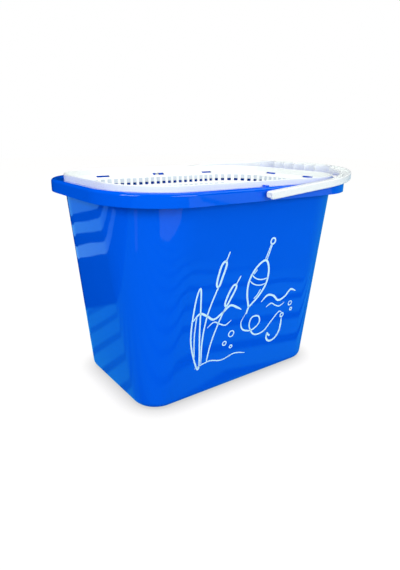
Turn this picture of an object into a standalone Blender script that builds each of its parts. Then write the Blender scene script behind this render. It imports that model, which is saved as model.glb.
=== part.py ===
"""Fishing bucket: a tapered oblong tub with a turned-down rim, a strainer tray that
sits in its mouth, and a carrying handle that turns on two pins and lies on the rim.

The origin is the middle of the base on the ground. +X runs along the length, towards
the end on which the handle lies, -Y is the front and +Z is up. All sizes are metres.
"""

import math

import bmesh
import bpy
from mathutils import Matrix, Vector

# Tub: overall sizes
RIM_LENGTH = 0.380
RIM_WIDTH = 0.274
RIM_CORNER = 0.088
RIM_TOP = 0.2765
BASE_LENGTH = 0.2943
BASE_WIDTH = 0.1819
BASE_CORNER = 0.0328
TUB_WALL = 0.0028

# Tub: rim and base details
SKIRT_DEPTH = 0.0153
RIM_OVERHANG = 0.0138
NECK_CORNER = 0.0855
RIM_CREST_INSET = 0.0085
RIM_FALL = 0.0014
MOUTH_INSET = 0.0166
RIM_OUTER_EDGE = 0.0038
RIM_INNER_EDGE = 0.0030
BASE_FILLET = 0.0102

# Locating lugs on the rim, one in the middle of each long side
LUG_WIDTH = 0.0044
LUG_HEIGHT = 0.0011
LUG_GAP = 0.0005

# Bosses behind the skirt that carry the handle's pins
BOSS_WIDTH = 0.018
BOSS_FOOT = 0.0010
PIVOT_DROP = 0.0065

# Strainer tray
TRAY_WALL = 0.0018
TRAY_SEAT = 0.0006
TRAY_LIP_HEIGHT = 0.0065
TRAY_LEAN = 0.0002
TRAY_STEP = 0.0018
BAND_RUN = 0.0038
BAND_FOOT_DROP = 0.0058
LEDGE_DROP = 0.0073
LEDGE_WIDTH = 0.0044
LEDGE_OUTER_EDGE = 0.0014
LEDGE_INNER_EDGE = 0.0009
TRAY_WALL_DEPTH = 0.0326
TRAY_DRAFT = 0.09
TRAY_FILLET = 0.0040

# Openings low in the tray's upper wall, where the middle ones clear the pins' heads
BAND_WINDOW_LENGTH = 0.0210
BAND_WINDOW_HEIGHT = 0.0023
BAND_WINDOW_DROP = 0.0033
PIN_WINDOW_HEIGHT = 0.0029
PIN_WINDOW_DROP = 0.0027
BAND_WINDOW_SPREAD_LONG = 0.095
BAND_WINDOW_SPREAD_END = 0.0394

# Openings in the tray's wall
SLOT_PITCH = 0.0104
CORNER_PITCH = 0.0115
SLOT_WIDTH = 0.0063
SLOT_HEIGHT = 0.0038
FIRST_ROW_DROP = 0.0072
ROW_PITCH = 0.0142
ROW_COUNT = 2

# Openings in the tray's floor
FLOOR_SLOT_LENGTH = 0.018
FLOOR_SLOT_WIDTH = 0.0050
FLOOR_PITCH_X = 0.028
FLOOR_PITCH_Y = 0.024
FLOOR_MARGIN = 0.012

# Carrying handle
ARM_HEIGHT = 0.0081
ARM_WIDTH = 0.0090
ARM_TAIL = 0.0130
ARM_GAP = 0.0036
ARM_SKIRT = 0.0011
BAR_OVERHANG = 0.0230
BAR_HEIGHT = 0.0116
BAR_START = 0.016
BAR_RISE = 0.0012
SHOULDER_RADIUS = 0.122
CROWN_RADIUS = 0.235
SHOULDER_GROWTH = 0.0140
SHOULDER_TURN = math.radians(63)
GROWTH_TURN = math.radians(76)
HANDLE_EDGE = 0.0012

# Finger grips and channel of the handle
GRIP_PITCH = 0.0214
GRIP_DEPTH = 0.0067
END_GRIP_WIDTH = 0.0308
END_GRIP_DEPTH = 0.0105
GRIP_FULLNESS = 0.6
CHANNEL_LIP = 0.0033
CHANNEL_DEPTH = 0.0035
CHANNEL_START = 0.10
CHANNEL_RUN_IN = 0.02
CHANNEL_SLANT = 0.25

# Pivot pins
PIN_DIAMETER = 0.0050
PIN_HEAD_DIAMETER = 0.0076
PIN_HEAD_HEIGHT = 0.0018
PIN_GRIP = 0.0072

# Gaps between pieces
SEAT_GAP = 0.0003
PIN_CLEARANCE = 0.0003
HEAD_CLEARANCE = 0.0003
SWING_CLEARANCE = 0.0085

# Fineness of round shapes
CORNER_STEPS = 12
EDGE_STEPS = 3
PIN_STEPS = 24
STRAIGHT_STEPS = 3
SHOULDER_STEPS = 16
GRIP_STEPS = 7
SMOOTH_ANGLE = math.radians(35)

# Places that follow from the sizes above
SKIRT_BOTTOM = RIM_TOP - SKIRT_DEPTH
PIVOT_HEIGHT = RIM_TOP - PIVOT_DROP
PIN_RADIUS = PIN_DIAMETER / 2
BORE_RADIUS = PIN_RADIUS + PIN_CLEARANCE
RECESS_RADIUS = PIN_HEAD_DIAMETER / 2 + HEAD_CLEARANCE
RECESS_DEPTH = PIN_HEAD_HEIGHT + PIN_CLEARANCE
HALF_LENGTH = RIM_LENGTH / 2
HALF_WIDTH = RIM_WIDTH / 2
MOUTH_EDGE_INSET = MOUTH_INSET - RIM_INNER_EDGE
MOUTH_EDGE_HEIGHT = RIM_TOP - RIM_FALL - RIM_INNER_EDGE
TRAY_INSET = MOUTH_INSET - TRAY_SEAT
TRAY_LIP_TOP = RIM_TOP + TRAY_LIP_HEIGHT
STEP_INSET = TRAY_INSET + TRAY_WALL + TRAY_LEAN
BAND_FOOT_INSET = STEP_INSET + TRAY_STEP + BAND_RUN
BAND_FOOT = RIM_TOP - BAND_FOOT_DROP
LEDGE_INNER_INSET = BAND_FOOT_INSET + LEDGE_WIDTH
LEDGE_HEIGHT = RIM_TOP - LEDGE_DROP
TRAY_FLOOR = LEDGE_HEIGHT - TRAY_WALL_DEPTH
HANDLE_HALF_WIDTH = HALF_WIDTH + ARM_GAP + ARM_WIDTH
HANDLE_REACH = HALF_LENGTH + BAR_OVERHANG
BAR_INNER = HALF_LENGTH - TRAY_INSET + SWING_CLEARANCE
SHOULDER_Y = HANDLE_HALF_WIDTH - SHOULDER_RADIUS
CROWN_X = HANDLE_REACH - CROWN_RADIUS
SHOULDER_X = CROWN_X + math.sqrt((CROWN_RADIUS - SHOULDER_RADIUS) ** 2 - SHOULDER_Y ** 2)


def clear_scene():
    """Start from an empty scene."""
    for old in list(bpy.data.objects):
        bpy.data.objects.remove(old)


def new_collection(name):
    """A collection in the scene."""
    group = bpy.data.collections.new(name)
    bpy.context.scene.collection.children.link(group)
    return group


def plastic(name, colour, roughness):
    """Moulded plastic in one colour."""
    material = bpy.data.materials.new(name)
    material.use_nodes = True
    shader = material.node_tree.nodes["Principled BSDF"]
    shader.inputs["Base Color"].default_value = (*colour, 1)
    shader.inputs["Roughness"].default_value = roughness
    shader.inputs["Metallic"].default_value = 0
    return material


def add_object(name, mesh, group, material=None):
    """Put a mesh in a collection, shaded smooth with sharp edges kept."""
    mesh.shade_smooth()
    mesh.set_sharp_from_angle(angle=SMOOTH_ANGLE)
    piece = bpy.data.objects.new(name, mesh)
    group.objects.link(piece)
    if material:
        mesh.materials.append(material)
    return piece


def add_cutter(name, mesh, group):
    """A helper solid that only joins or cuts."""
    helper = bpy.data.objects.new(name, mesh)
    group.objects.link(helper)
    helper.hide_render = True
    helper.display_type = "WIRE"
    return helper


def boolean(piece, helper, operation):
    """Cut a piece by a helper, or join the helper to it."""
    step = piece.modifiers.new(helper.name, "BOOLEAN")
    step.operation = operation
    step.solver = "EXACT"
    step.use_self = operation == "UNION"
    step.object = helper


def mesh_from(name, work):
    """A mesh from a bmesh whose faces are turned outwards."""
    mesh = bpy.data.meshes.new(name)
    work.to_mesh(mesh)
    work.free()
    return mesh


def outline(length, width, corner):
    """Points round an oblong with round corners, counterclockwise from above."""
    points = []
    for quarter in range(4):
        side_x = 1 if quarter in (0, 3) else -1
        side_y = 1 if quarter in (0, 1) else -1
        centre = Vector((side_x * (length / 2 - corner), side_y * (width / 2 - corner)))
        for step in range(CORNER_STEPS + 1):
            angle = math.pi / 2 * (quarter + step / CORNER_STEPS)
            points.append(centre + corner * Vector((math.cos(angle), math.sin(angle))))
    return points


def inset_ring(inset, height):
    """The rim's outline drawn in by an inset, at a height."""
    points = outline(RIM_LENGTH - 2 * inset, RIM_WIDTH - 2 * inset, RIM_CORNER - inset)
    return [(point.x, point.y, height) for point in points]


def body_ring(height, inset):
    """The tub's tapering outside at a height, drawn in by an inset."""
    share = height / SKIRT_BOTTOM
    length = BASE_LENGTH + share * (RIM_LENGTH - 2 * RIM_OVERHANG - BASE_LENGTH)
    width = BASE_WIDTH + share * (RIM_WIDTH - 2 * RIM_OVERHANG - BASE_WIDTH)
    corner = BASE_CORNER + share * (NECK_CORNER - BASE_CORNER)
    points = outline(length - 2 * inset, width - 2 * inset, corner - inset)
    return [(point.x, point.y, height) for point in points]


def loft_open(name, rings):
    """A surface through rings that lie one after another, closed over the last."""
    work = bmesh.new()
    rows = [[work.verts.new(point) for point in ring] for ring in rings]
    for row, following in zip(rows, rows[1:]):
        for index in range(len(row)):
            after = (index + 1) % len(row)
            work.faces.new((row[index], row[after], following[after], following[index]))
    work.faces.new(rows[-1])
    return mesh_from(name, work)


def thicken(piece, thickness):
    """Give a surface its wall, on the side away from its faces."""
    wall = piece.modifiers.new("wall", "SOLIDIFY")
    wall.thickness = thickness
    wall.offset = -1
    wall.use_even_offset = True


def block(work, middle, size, turn=0):
    """Add a box to a bmesh, turned about its upright."""
    place = Matrix.Translation(middle) @ Matrix.Rotation(turn, 4, "Z")
    bmesh.ops.create_cube(work, size=1, matrix=place @ Matrix.Diagonal((*size, 1)))


def block_helper(name, group, middles, size):
    """A helper made of equal boxes."""
    work = bmesh.new()
    for middle in middles:
        block(work, middle, size)
    return add_cutter(name, mesh_from(name, work), group)


def bore_helper(name, group, side, start, end, radius=BORE_RADIUS):
    """A helper cylinder on the pivot axis, between two distances from the middle."""
    work = bmesh.new()
    place = Matrix.Translation((0, side * (start + end) / 2, PIVOT_HEIGHT))
    place = place @ Matrix.Rotation(math.pi / 2, 4, "X")
    bmesh.ops.create_cone(work, cap_ends=True, segments=PIN_STEPS, radius1=radius,
                          radius2=radius, depth=end - start, matrix=place)
    return add_cutter(name, mesh_from(name, work), group)


def mouth_half_width(height):
    """Half the inside width of the tub between the skirt's foot and the rim."""
    neck = HALF_WIDTH - RIM_OVERHANG - TUB_WALL
    mouth = HALF_WIDTH - MOUTH_INSET
    share = (height - SKIRT_BOTTOM) / (MOUTH_EDGE_HEIGHT - SKIRT_BOTTOM)
    return neck + share * (mouth - neck)


def head_seat():
    """Distance from the middle of the recess's floor, on which a pin's head seats."""
    return mouth_half_width(PIVOT_HEIGHT) + RECESS_DEPTH


def tub_rings():
    """Rings of the tub's visible surface: skirt, rim, inner wall, then the floor."""
    rings = [inset_ring(0, SKIRT_BOTTOM)]
    for step in range(EDGE_STEPS + 1):
        angle = math.pi / 2 * step / EDGE_STEPS
        inset = RIM_OUTER_EDGE * (1 - math.cos(angle))
        rings.append(inset_ring(inset, RIM_TOP - RIM_OUTER_EDGE * (1 - math.sin(angle))))
    rings.append(inset_ring(RIM_CREST_INSET, RIM_TOP))
    for step in range(EDGE_STEPS + 1):
        angle = math.pi / 2 * step / EDGE_STEPS
        inset = MOUTH_EDGE_INSET + RIM_INNER_EDGE * math.sin(angle)
        height = MOUTH_EDGE_HEIGHT + RIM_INNER_EDGE * math.cos(angle)
        rings.append(inset_ring(inset, height))
    rings.append(body_ring(SKIRT_BOTTOM, TUB_WALL))
    inner_fillet = BASE_FILLET - TUB_WALL
    for step in range(EDGE_STEPS + 1):
        angle = math.pi / 2 * step / EDGE_STEPS
        height = BASE_FILLET - inner_fillet * math.sin(angle)
        rings.append(body_ring(height, TUB_WALL + inner_fillet * (1 - math.cos(angle))))
    return rings


def make_bucket(parts, helpers, material):
    """The tub with its rim, pin bosses and locating lugs."""
    bucket = add_object("bucket", loft_open("bucket", tub_rings()), parts, material)
    thicken(bucket, TUB_WALL)
    embedded_top = RIM_TOP - RIM_FALL - TUB_WALL / 4
    boss_foot = SKIRT_BOTTOM + BOSS_FOOT
    boss_inner = mouth_half_width(boss_foot) + TUB_WALL / 2
    boss_outer = HALF_WIDTH - TUB_WALL / 2
    boss_size = (BOSS_WIDTH, boss_outer - boss_inner, embedded_top - boss_foot)
    boss_places = [(0, side * (boss_outer + boss_inner) / 2, (embedded_top + boss_foot) / 2)
                   for side in (-1, 1)]
    boolean(bucket, block_helper("pin_bosses", helpers, boss_places, boss_size), "UNION")
    lug_outer = HALF_WIDTH - RIM_CREST_INSET
    lug_inner = HALF_WIDTH - TRAY_INSET + LUG_GAP
    lug_top = RIM_TOP + LUG_HEIGHT
    lug_size = (LUG_WIDTH, lug_outer - lug_inner, lug_top - embedded_top)
    lug_places = [(0, side * (lug_outer + lug_inner) / 2, (lug_top + embedded_top) / 2)
                  for side in (-1, 1)]
    boolean(bucket, block_helper("rim_lugs", helpers, lug_places, lug_size), "UNION")
    start = boss_inner - 3 * TUB_WALL
    for side, name in ((-1, "front"), (1, "back")):
        bore = bore_helper(f"tub_bore_{name}", helpers, side, start, HALF_WIDTH + TUB_WALL)
        recess = bore_helper(f"head_recess_{name}", helpers, side, start, head_seat(),
                             RECESS_RADIUS)
        boolean(bucket, bore, "DIFFERENCE")
        boolean(bucket, recess, "DIFFERENCE")
    return bucket


def step_height():
    """Height of the upper end of the tray's slanting step, which seats on the mouth."""
    touch = MOUTH_EDGE_HEIGHT + math.sqrt(2) * (RIM_INNER_EDGE + SEAT_GAP + TRAY_WALL)
    return touch - (STEP_INSET - MOUTH_EDGE_INSET)


def tray_rings():
    """Rings of the tray's inner surface: wall, step, ledge, slotted wall, then the floor."""
    step_top = step_height()
    rings = [
        inset_ring(TRAY_INSET + TRAY_WALL, TRAY_LIP_TOP),
        inset_ring(STEP_INSET, step_top),
        inset_ring(STEP_INSET + TRAY_STEP, step_top - TRAY_STEP),
        inset_ring(BAND_FOOT_INSET, BAND_FOOT),
        inset_ring(BAND_FOOT_INSET + LEDGE_OUTER_EDGE, LEDGE_HEIGHT),
        inset_ring(LEDGE_INNER_INSET - LEDGE_INNER_EDGE, LEDGE_HEIGHT),
        inset_ring(LEDGE_INNER_INSET, LEDGE_HEIGHT - LEDGE_INNER_EDGE),
    ]
    for step in range(EDGE_STEPS + 1):
        angle = math.pi / 2 * step / EDGE_STEPS
        height = TRAY_FLOOR + TRAY_FILLET * (1 - math.sin(angle))
        drawn_in = TRAY_FILLET * (1 - math.cos(angle))
        rings.append(inset_ring(wall_inset_at(height) + drawn_in, height))
    return rings


def wall_inset_at(height):
    """Inset of the tray's slotted wall, which draws in as it goes down."""
    return LEDGE_INNER_INSET + TRAY_DRAFT * (LEDGE_HEIGHT - height)


def along_quarter(inset, distance):
    """Place and heading on an inset outline, at a distance from mid long side."""
    straight_x = HALF_LENGTH - RIM_CORNER
    straight_y = HALF_WIDTH - RIM_CORNER
    radius = RIM_CORNER - inset
    bend = radius * math.pi / 2
    if distance < straight_x:
        return distance, HALF_WIDTH - inset, math.pi / 2
    if distance < straight_x + bend:
        angle = math.pi / 2 - (distance - straight_x) / radius
        x = straight_x + radius * math.cos(angle)
        return x, straight_y + radius * math.sin(angle), angle
    return HALF_LENGTH - inset, straight_y - (distance - straight_x - bend), 0


def slot_distances(inset):
    """Distances of the slots along a quarter, from mid long side to mid end."""
    straight_x = HALF_LENGTH - RIM_CORNER
    straight_y = HALF_WIDTH - RIM_CORNER
    bend = (RIM_CORNER - inset) * math.pi / 2
    long_count = int((straight_x - SLOT_PITCH / 2) / SLOT_PITCH) + 1
    end_count = int(straight_y / SLOT_PITCH)
    long_side = [SLOT_PITCH * (index + 0.5) for index in range(long_count)]
    quarter = straight_x + bend + straight_y
    end_side = [quarter - SLOT_PITCH * index for index in range(end_count, -1, -1)]
    stretch = end_side[0] - long_side[-1]
    steps = max(int(stretch / CORNER_PITCH), 1)
    corner = [long_side[-1] + stretch * index / steps for index in range(1, steps)]
    return long_side + corner + end_side


def four_ways(x, y, angle):
    """The same place in all four quarters, without doubles on the middle lines."""
    places = []
    for side_x, side_y in ((1, 1), (-1, 1), (-1, -1), (1, -1)):
        if (x < SEAT_GAP and side_x < 0) or (y < SEAT_GAP and side_y < 0):
            continue
        places.append((side_x * x, side_y * y, side_x * side_y * angle))
    return places


def slot_helper(helpers):
    """Boxes for the windows in the tray's wall, in rows all the way round."""
    work = bmesh.new()
    size = (4 * TRAY_WALL, SLOT_WIDTH, SLOT_HEIGHT)
    for row in range(ROW_COUNT):
        top = LEDGE_HEIGHT - FIRST_ROW_DROP - row * ROW_PITCH
        middle = top - SLOT_HEIGHT / 2
        inset = wall_inset_at(middle) - TRAY_WALL / 2
        for distance in slot_distances(inset):
            for x, y, angle in four_ways(*along_quarter(inset, distance)):
                block(work, (x, y, middle), size, angle)
    return add_cutter("wall_slots", mesh_from("wall_slots", work), helpers)


def band_helper(helpers):
    """Boxes for the long windows low in the tray's upper wall."""
    work = bmesh.new()
    inset = (TRAY_INSET + BAND_FOOT_INSET) / 2
    reach_x = HALF_LENGTH - inset
    reach_y = HALF_WIDTH - inset
    windows = [
        (PIN_WINDOW_DROP, PIN_WINDOW_HEIGHT, (0, reach_y, math.pi / 2)),
        (BAND_WINDOW_DROP, BAND_WINDOW_HEIGHT,
         (BAND_WINDOW_SPREAD_LONG, reach_y, math.pi / 2)),
        (BAND_WINDOW_DROP, BAND_WINDOW_HEIGHT, (reach_x, BAND_WINDOW_SPREAD_END, 0)),
    ]
    for drop, height, place in windows:
        size = (6 * TRAY_WALL, BAND_WINDOW_LENGTH, height)
        for x, y, angle in four_ways(*place):
            block(work, (x, y, RIM_TOP - drop - height / 2), size, angle)
    return add_cutter("band_windows", mesh_from("band_windows", work), helpers)


def floor_helper(helpers):
    """Boxes for the drain slots in the tray's floor, clear of its corners."""
    work = bmesh.new()
    inset = wall_inset_at(TRAY_FLOOR) + TRAY_FILLET + FLOOR_MARGIN
    size = (FLOOR_SLOT_LENGTH, FLOOR_SLOT_WIDTH, 4 * TRAY_WALL)
    radius = max(RIM_CORNER - inset, 0)
    corner_x = HALF_LENGTH - inset - radius
    corner_y = HALF_WIDTH - inset - radius
    x = FLOOR_PITCH_X / 2
    while x + FLOOR_SLOT_LENGTH / 2 < HALF_LENGTH - inset:
        y = FLOOR_PITCH_Y / 2
        while y + FLOOR_SLOT_WIDTH / 2 < HALF_WIDTH - inset:
            past_x = max(x + FLOOR_SLOT_LENGTH / 2 - corner_x, 0)
            past_y = max(y + FLOOR_SLOT_WIDTH / 2 - corner_y, 0)
            if math.hypot(past_x, past_y) <= radius:
                for place_x, place_y, angle in four_ways(x, y, 0):
                    block(work, (place_x, place_y, TRAY_FLOOR - TRAY_WALL / 2), size, angle)
            y += FLOOR_PITCH_Y
        x += FLOOR_PITCH_X
    return add_cutter("floor_slots", mesh_from("floor_slots", work), helpers)


def make_tray(parts, helpers, material):
    """The strainer tray with its windows, slots and drain slots."""
    tray = add_object("strainer_tray", loft_open("strainer_tray", tray_rings()), parts,
                      material)
    thicken(tray, TRAY_WALL)
    boolean(tray, slot_helper(helpers), "DIFFERENCE")
    boolean(tray, band_helper(helpers), "DIFFERENCE")
    boolean(tray, floor_helper(helpers), "DIFFERENCE")
    return tray


def outer_edge_x(y):
    """How far out the handle's outer edge lies, at a distance from its middle line."""
    meeting_y = CROWN_RADIUS * SHOULDER_Y / (CROWN_RADIUS - SHOULDER_RADIUS)
    if y < meeting_y:
        return CROWN_X + math.sqrt(CROWN_RADIUS ** 2 - y ** 2)
    return SHOULDER_X + math.sqrt(SHOULDER_RADIUS ** 2 - (y - SHOULDER_Y) ** 2)


def grip_bottom(y):
    """How far the finger recesses cut into the bar, at a distance from the middle."""
    last_ridge = 2 * GRIP_PITCH
    if y < last_ridge:
        return GRIP_DEPTH * abs(math.sin(math.pi * y / GRIP_PITCH)) ** GRIP_FULLNESS
    if y < last_ridge + END_GRIP_WIDTH:
        share = (y - last_ridge) / END_GRIP_WIDTH
        return END_GRIP_DEPTH * max(math.sin(math.pi * share), 0) ** GRIP_FULLNESS
    return 0


def handle_edges():
    """Pairs of outer and inner edge points along half the handle, tail to middle."""
    pairs = []
    arm_inner = HANDLE_HALF_WIDTH - ARM_WIDTH
    half_height = ARM_HEIGHT / 2
    tail_round = half_height - HANDLE_EDGE
    for step in range(EDGE_STEPS):
        angle = math.pi / 2 * step / EDGE_STEPS
        x = -ARM_TAIL + tail_round * (1 - math.cos(angle))
        pairs.append(((x, HANDLE_HALF_WIDTH), (x, arm_inner)))
    for step in range(STRAIGHT_STEPS):
        start = -ARM_TAIL + tail_round
        x = start + (SHOULDER_X - start) * step / STRAIGHT_STEPS
        pairs.append(((x, HANDLE_HALF_WIDTH), (x, arm_inner)))
    grip_end = 2 * GRIP_PITCH + END_GRIP_WIDTH
    for step in range(SHOULDER_STEPS + 1):
        angle = SHOULDER_TURN * step / SHOULDER_STEPS
        turn = Vector((math.sin(angle), math.cos(angle)))
        centre = Vector((SHOULDER_X, SHOULDER_Y))
        width = ARM_WIDTH + SHOULDER_GROWTH * angle / GROWTH_TURN
        outer = centre + SHOULDER_RADIUS * turn
        inner = centre + (SHOULDER_RADIUS - width) * turn
        pairs.append((tuple(outer), tuple(inner)))
    shoulder_inner = Vector(pairs[-1][1])
    widening = pairs[-1][0][1] / shoulder_inner.y
    stops = [grip_end]
    for grip in range(3):
        start = (2 * GRIP_PITCH, GRIP_PITCH, 0)[grip]
        span = (END_GRIP_WIDTH, GRIP_PITCH, GRIP_PITCH)[grip]
        for step in range(1, GRIP_STEPS + 1):
            stops.append(start + span * (1 - step / GRIP_STEPS))
    for y in stops:
        outer_y = y * widening
        pairs.append(((outer_edge_x(outer_y), outer_y), (BAR_INNER + grip_bottom(y), y)))
    return pairs


def bar_share(x):
    """How far the arm has turned into the thicker bar, from 0 to 1."""
    return min(max((x - BAR_INNER + BAR_START) / BAR_START, 0), 1)


def underside(x):
    """Height of the handle's underside, which drops where the bar gets thicker."""
    return -ARM_HEIGHT / 2 - (BAR_HEIGHT - ARM_HEIGHT) * bar_share(x)


def rest_tilt():
    """The angle at which the handle lies with its underside just clear of the rim."""
    tilt = 0
    for outer, inner in handle_edges():
        x, y = Vector(inner) + HANDLE_EDGE * (Vector(outer) - Vector(inner)).normalized()
        past_x = max(x - HALF_LENGTH + RIM_CORNER, 0)
        past_y = max(y - HALF_WIDTH + RIM_CORNER, 0)
        inset = RIM_CORNER - math.hypot(past_x, past_y)
        if inset <= 0 or x <= 0:
            continue
        edge = min(inset, RIM_OUTER_EDGE) - RIM_OUTER_EDGE
        rim = RIM_TOP - RIM_OUTER_EDGE + math.sqrt(RIM_OUTER_EDGE ** 2 - edge ** 2)
        rise = rim + SEAT_GAP - PIVOT_HEIGHT
        below = underside(x)
        tilt = max(tilt, math.asin(rise / math.hypot(x, below)) - math.atan2(below, x))
    return tilt


def channel_depth(x):
    """Depth of the channel in the handle's top, which runs in along the arm."""
    share = (x - CHANNEL_START) / CHANNEL_RUN_IN
    return max(CHANNEL_DEPTH * min(share, 1), SEAT_GAP)


def handle_section(outer, inner, tail_share):
    """One ring of the handle between an outer and an inner edge point."""
    outer = Vector(outer)
    inner = Vector(inner)
    width = (outer - inner).length
    across = (inner - outer) / width
    top = ARM_HEIGHT / 2 * tail_share
    inner_top = top + BAR_RISE * bar_share(inner.x)
    bottom = underside(inner.x) * tail_share
    skirt = bottom - ARM_SKIRT * tail_share
    edge = min(HANDLE_EDGE, ARM_HEIGHT / 3 * tail_share)
    lip = min(CHANNEL_LIP, width / 3)
    depth = channel_depth(outer.x)
    slant = CHANNEL_SLANT * depth
    profile = [(0, skirt + edge), (edge, skirt), (lip, skirt), (lip + ARM_SKIRT, bottom),
               (width - edge, bottom), (width, bottom + edge), (width, inner_top - edge),
               (width - edge, inner_top), (width - lip, inner_top),
               (width - lip - slant, top - depth),
               (lip + slant, top - depth), (lip, top), (edge, top), (0, top - edge)]
    return [(*(outer + across * reach), height) for reach, height in profile]


def handle_rings():
    """All rings of the handle, from the tail at the back to the tail at the front."""
    half = []
    for index, (outer, inner) in enumerate(handle_edges()):
        lift = math.sin(math.pi / 2 * min(index / EDGE_STEPS, 1))
        edge_share = 2 * HANDLE_EDGE / ARM_HEIGHT
        tail_share = edge_share + (1 - edge_share) * lift
        half.append(handle_section(outer, inner, tail_share))
    other = [[(x, -y, z) for x, y, z in ring] for ring in half[-2::-1]]
    return half + other


def make_handle(parts, helpers, axis, material):
    """The carrying handle, modelled flat and laid down on the rim by its axis."""
    work = bmesh.new()
    rows = [[work.verts.new(point) for point in ring] for ring in handle_rings()]
    for row, following in zip(rows, rows[1:]):
        for index in range(len(row)):
            after = (index + 1) % len(row)
            work.faces.new((row[index], following[index], following[after], row[after]))
    work.faces.new(rows[0])
    work.faces.new(list(reversed(rows[-1])))
    bmesh.ops.recalc_face_normals(work, faces=work.faces)
    handle = add_object("bail_handle", mesh_from("bail_handle", work), parts, material)
    handle.parent = axis
    for side, name in ((-1, "handle_bore_front"), (1, "handle_bore_back")):
        start = HANDLE_HALF_WIDTH - ARM_WIDTH - ARM_GAP
        end = HALF_WIDTH + ARM_GAP + PIN_GRIP + PIN_CLEARANCE
        bore = bore_helper(name, helpers, side, start, end)
        boolean(handle, bore, "DIFFERENCE")
    return handle


def make_pin(name, side, parts, axis, material):
    """A turned pin with its domed head sunk in the tub's wall and its end in the handle."""
    head_radius = PIN_HEAD_DIAMETER / 2
    seat = head_seat() - PIN_CLEARANCE
    shank = HALF_WIDTH + ARM_GAP + PIN_GRIP - seat
    profile = []
    for step in range(EDGE_STEPS + 2):
        angle = math.pi / 2 * (1 - step / (EDGE_STEPS + 1))
        reach = head_radius * math.cos(angle)
        profile.append((reach, 0, PIN_HEAD_HEIGHT * math.sin(angle)))
    profile += [(PIN_RADIUS, 0, 0), (PIN_RADIUS, 0, -shank), (0, 0, -shank)]
    work = bmesh.new()
    points = [work.verts.new(point) for point in profile]
    for start, end in zip(points, points[1:]):
        work.edges.new((start, end))
    pin = add_object(name, mesh_from(name, work), parts, material)
    turn = pin.modifiers.new("turned", "SCREW")
    turn.steps = PIN_STEPS
    turn.render_steps = PIN_STEPS
    turn.use_merge_vertices = True
    turn.merge_threshold = 0.00002
    pin.parent = axis
    pin.location = (0, side * seat, 0)
    pin.rotation_euler = (side * math.pi / 2, 0, 0)
    return pin


def make_axis(parts):
    """The empty on the pivot axis that carries the handle and its pins."""
    axis = bpy.data.objects.new("handle_axis", None)
    parts.objects.link(axis)
    axis.location = (0, 0, PIVOT_HEIGHT)
    axis.rotation_euler = (0, -rest_tilt(), 0)
    return axis


def make_part():
    """Model every piece of the fishing bucket."""
    clear_scene()
    parts = new_collection("fishing_bucket")
    helpers = new_collection("helpers")
    blue = plastic("blue_moulded_plastic", (0.0, 0.09, 0.72), 0.22)
    white = plastic("white_moulded_plastic", (0.86, 0.87, 0.88), 0.35)
    axis = make_axis(parts)
    make_bucket(parts, helpers, blue)
    make_tray(parts, helpers, white)
    make_handle(parts, helpers, axis, white)
    make_pin("pivot_pin_front", -1, parts, axis, white)
    make_pin("pivot_pin_back", 1, parts, axis, white)
    bpy.context.view_layer.update()


make_part()
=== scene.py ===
# %% [markdown]
# # A fishing bucket in moulded polypropylene
#
# The object is an oblong blue tub with a white strainer tray in its mouth and a white
# carrying handle that lies on the rim. Its solid model is already made: this script loads
# it as a fixed frame and builds the fine surfaces, the finishes and the studio round it.
# The frame is in metres, with the base on the ground, the front at -Y and +Z up.

# %% Load the frame
import math

import bmesh
import bpy
from mathutils import Matrix, Vector


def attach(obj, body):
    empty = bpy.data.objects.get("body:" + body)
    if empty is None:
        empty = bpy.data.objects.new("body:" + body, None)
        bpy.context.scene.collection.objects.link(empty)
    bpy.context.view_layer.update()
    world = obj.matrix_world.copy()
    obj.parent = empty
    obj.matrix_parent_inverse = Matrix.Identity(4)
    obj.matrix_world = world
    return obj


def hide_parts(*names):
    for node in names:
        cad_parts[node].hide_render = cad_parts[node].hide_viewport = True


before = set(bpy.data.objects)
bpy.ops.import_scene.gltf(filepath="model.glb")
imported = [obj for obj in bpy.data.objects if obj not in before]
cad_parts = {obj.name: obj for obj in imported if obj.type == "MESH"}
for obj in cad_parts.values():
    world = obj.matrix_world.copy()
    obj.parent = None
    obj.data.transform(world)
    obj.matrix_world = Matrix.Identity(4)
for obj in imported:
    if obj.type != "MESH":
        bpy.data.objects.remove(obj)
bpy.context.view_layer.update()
MM = 0.001

# %% [markdown]
# ## Colours and nodes
#
# A maker names a colour in sRGB, as a hex value, but Blender mixes light in linear
# values, so one function turns the first into the second. Materials are small networks
# of nodes. Each node is added in the same way: its kind, its settings, and what goes
# into its sockets: a fixed value, another node's output, or the node itself, which stands
# for its first output. One function does that for all kinds, so materials stay short.


# %% Helpers for colours and nodes
def srgb(text):
    """An sRGB hex colour as Blender's linear red, green, blue and alpha."""
    shares = [int(text[place:place + 2], 16) / 255 for place in (1, 3, 5)]
    linear = [share / 12.92 if share <= 0.04045 else ((share + 0.055) / 1.055) ** 2.4
              for share in shares]
    return (*linear, 1)


def add_node(material, kind, settings=None, inputs=None):
    """Add one node with its settings. An input is a value, an output or a whole node."""
    node = material.node_tree.nodes.new(kind)
    for name, value in (settings or {}).items():
        setattr(node, name, value)
    for name, value in (inputs or {}).items():
        if isinstance(value, bpy.types.Node):
            value = next(output for output in value.outputs if output.enabled)
        if isinstance(value, bpy.types.NodeSocket):
            material.node_tree.links.new(value, node.inputs[name])
        else:
            node.inputs[name].default_value = value
    return node


def new_material(name):
    """A material without nodes."""
    material = bpy.data.materials.new(name)
    material.use_nodes = True
    material.node_tree.nodes.clear()
    return material


print("middle grey in linear light:", round(srgb("#808080")[0], 3))

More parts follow.
